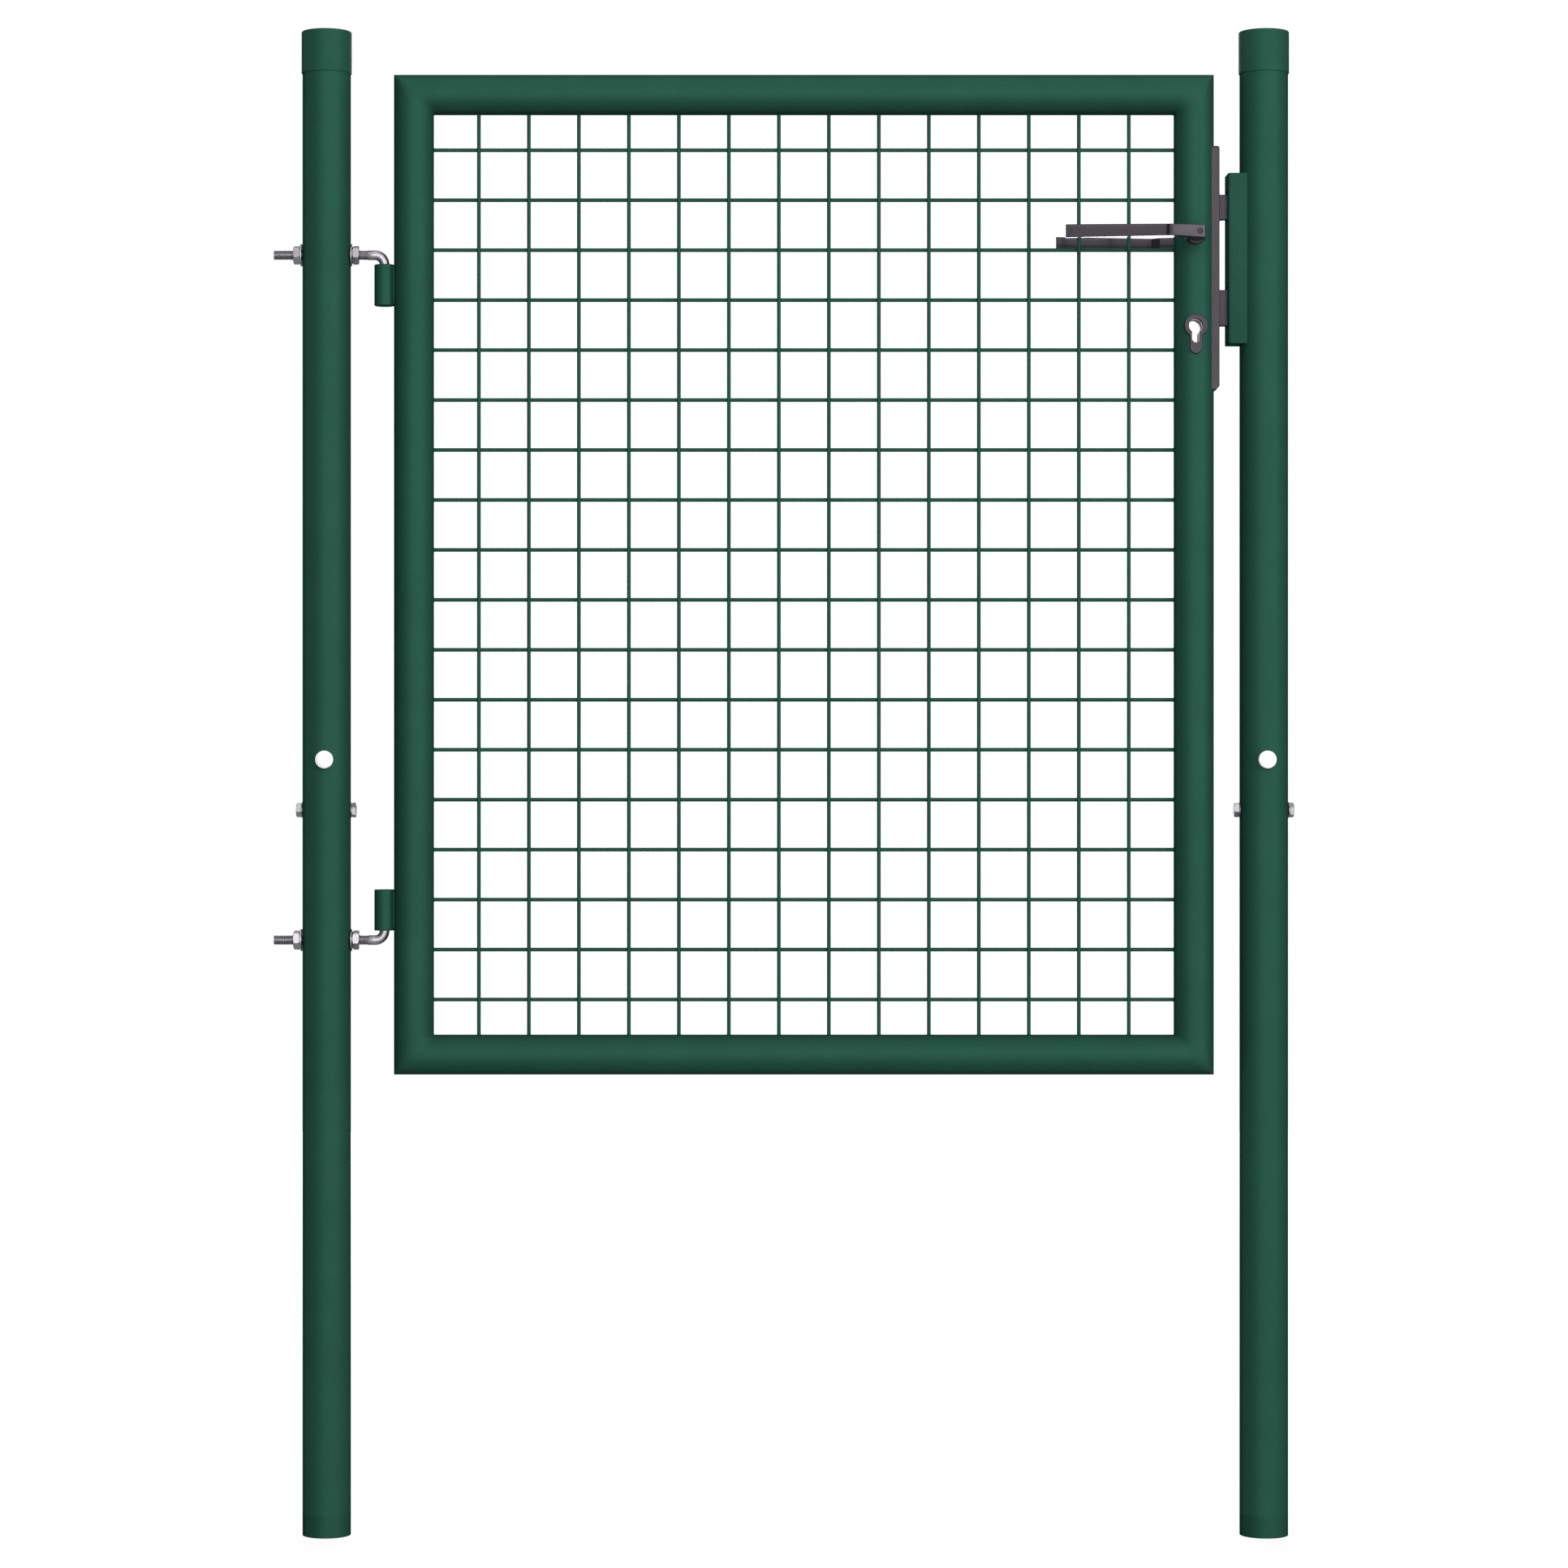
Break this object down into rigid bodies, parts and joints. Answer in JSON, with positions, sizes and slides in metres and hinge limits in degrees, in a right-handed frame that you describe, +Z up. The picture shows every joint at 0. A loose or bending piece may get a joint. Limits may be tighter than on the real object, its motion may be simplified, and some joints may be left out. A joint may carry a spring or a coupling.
{
  "type": "garden gate",
  "caption": "Single garden gate: mitred tube leaf with welded wire infill, hung on two round posts by adjustable hook hinges, with a tube lock, levers and a strike channel.",
  "frame": {"origin": "bottom centre of the whole gate: half way between the outermost hardware, on the plane of the post feet", "axes": "+X from the hinge post to the latch post, the front with the white bolt covers faces -Y, +Z up the posts"},
  "size_m": [1.0206, 0.1234, 1.503],
  "materials": {
    "green_coat": "satin powder coat",
    "green_plastic": "satin moulded",
    "zinc_steel": "zinc plated",
    "lock_steel": "satin plated",
    "lever_metal": "dark satin coat",
    "white_plastic": "smooth"
  },
  "bodies": {
    "posts": {"hinge_post_lower_tube": "green_coat", "hinge_post_upper_tube": "green_coat", "hinge_post_coupler": "zinc_steel", "hinge_post_cap": "green_plastic", "hinge_post_side_bolt": "zinc_steel", "hinge_post_side_washer_left": "zinc_steel", "hinge_post_side_washer_right": "zinc_steel", "hinge_post_side_nut": "zinc_steel", "hinge_post_front_bolt": "zinc_steel", "hinge_post_front_washer": "zinc_steel", "hinge_post_front_nut": "zinc_steel", "hinge_post_front_cover": "white_plastic", "latch_post_lower_tube": "green_coat", "latch_post_upper_tube": "green_coat", "latch_post_coupler": "zinc_steel", "latch_post_cap": "green_plastic", "latch_post_side_bolt": "zinc_steel", "latch_post_side_washer_left": "zinc_steel", "latch_post_side_washer_right": "zinc_steel", "latch_post_side_nut": "zinc_steel", "latch_post_front_bolt": "zinc_steel", "latch_post_front_washer": "zinc_steel", "latch_post_front_nut": "zinc_steel", "latch_post_front_cover": "white_plastic", "upper_hinge_hook": "zinc_steel", "upper_hinge_washer_outer": "zinc_steel", "upper_hinge_nut_outer": "zinc_steel", "upper_hinge_washer_inner": "zinc_steel", "upper_hinge_nut_inner": "zinc_steel", "lower_hinge_hook": "zinc_steel", "lower_hinge_washer_outer": "zinc_steel", "lower_hinge_nut_outer": "zinc_steel", "lower_hinge_washer_inner": "zinc_steel", "lower_hinge_nut_inner": "zinc_steel", "strike_channel": "green_coat"},
    "leaf": {"upper_hinge_barrel": "green_coat", "lower_hinge_barrel": "green_coat", "leaf_hinge_stile": "green_coat", "leaf_latch_stile_lower": "green_coat", "leaf_latch_stile_lock": "green_coat", "leaf_latch_stile_upper": "green_coat", "leaf_top_rail": "green_coat", "leaf_bottom_rail": "green_coat", "wire_infill": "green_coat", "lock_case": "lock_steel", "lock_cover": "lock_steel", "lock_faceplate": "lock_steel", "lever_collar_front": "lock_steel", "lever_collar_back": "lock_steel", "key_plate_front": "lock_steel", "key_plate_back": "lock_steel", "faceplate_screw_1": "zinc_steel", "faceplate_screw_2": "zinc_steel", "latch_spring": "zinc_steel"},
    "lever": {"lever_front": "lever_metal", "lever_back": "lever_metal", "spindle": "lever_metal", "follower": "lock_steel"},
    "latch_bolt": {"latch_bolt": "lock_steel"},
    "dead_bolt": {"dead_bolt": "lock_steel"}
  },
  "joints": [
    {"name": "leaf_swing", "type": "hinge", "parent": "posts", "child": "leaf", "pos_m": [-0.3996, 0, 0.93], "axis": [0, 0, 1], "range_deg": [-105, 105]},
    {"name": "lever_turn", "type": "hinge", "parent": "leaf", "child": "lever", "pos_m": [0.4099, 0, 1.2975], "axis": [0, -1, 0], "range_deg": [0, 40], "stiffness_Nm_per_rad": 1.5, "springref_deg": -28.65},
    {"name": "latch_slide", "type": "slide", "parent": "leaf", "child": "latch_bolt", "axis": [-1, 0, 0], "range_m": [0, 0.0125], "deforming": ["latch_spring"]},
    {"name": "dead_bolt_slide", "type": "slide", "parent": "leaf", "child": "dead_bolt", "axis": [-1, 0, 0], "range_m": [0, 0.0142]}
  ],
  "couplings": [
    {"joint": "latch_slide", "follows": "lever_turn", "m_per_rad": 0.0179}
  ]
}
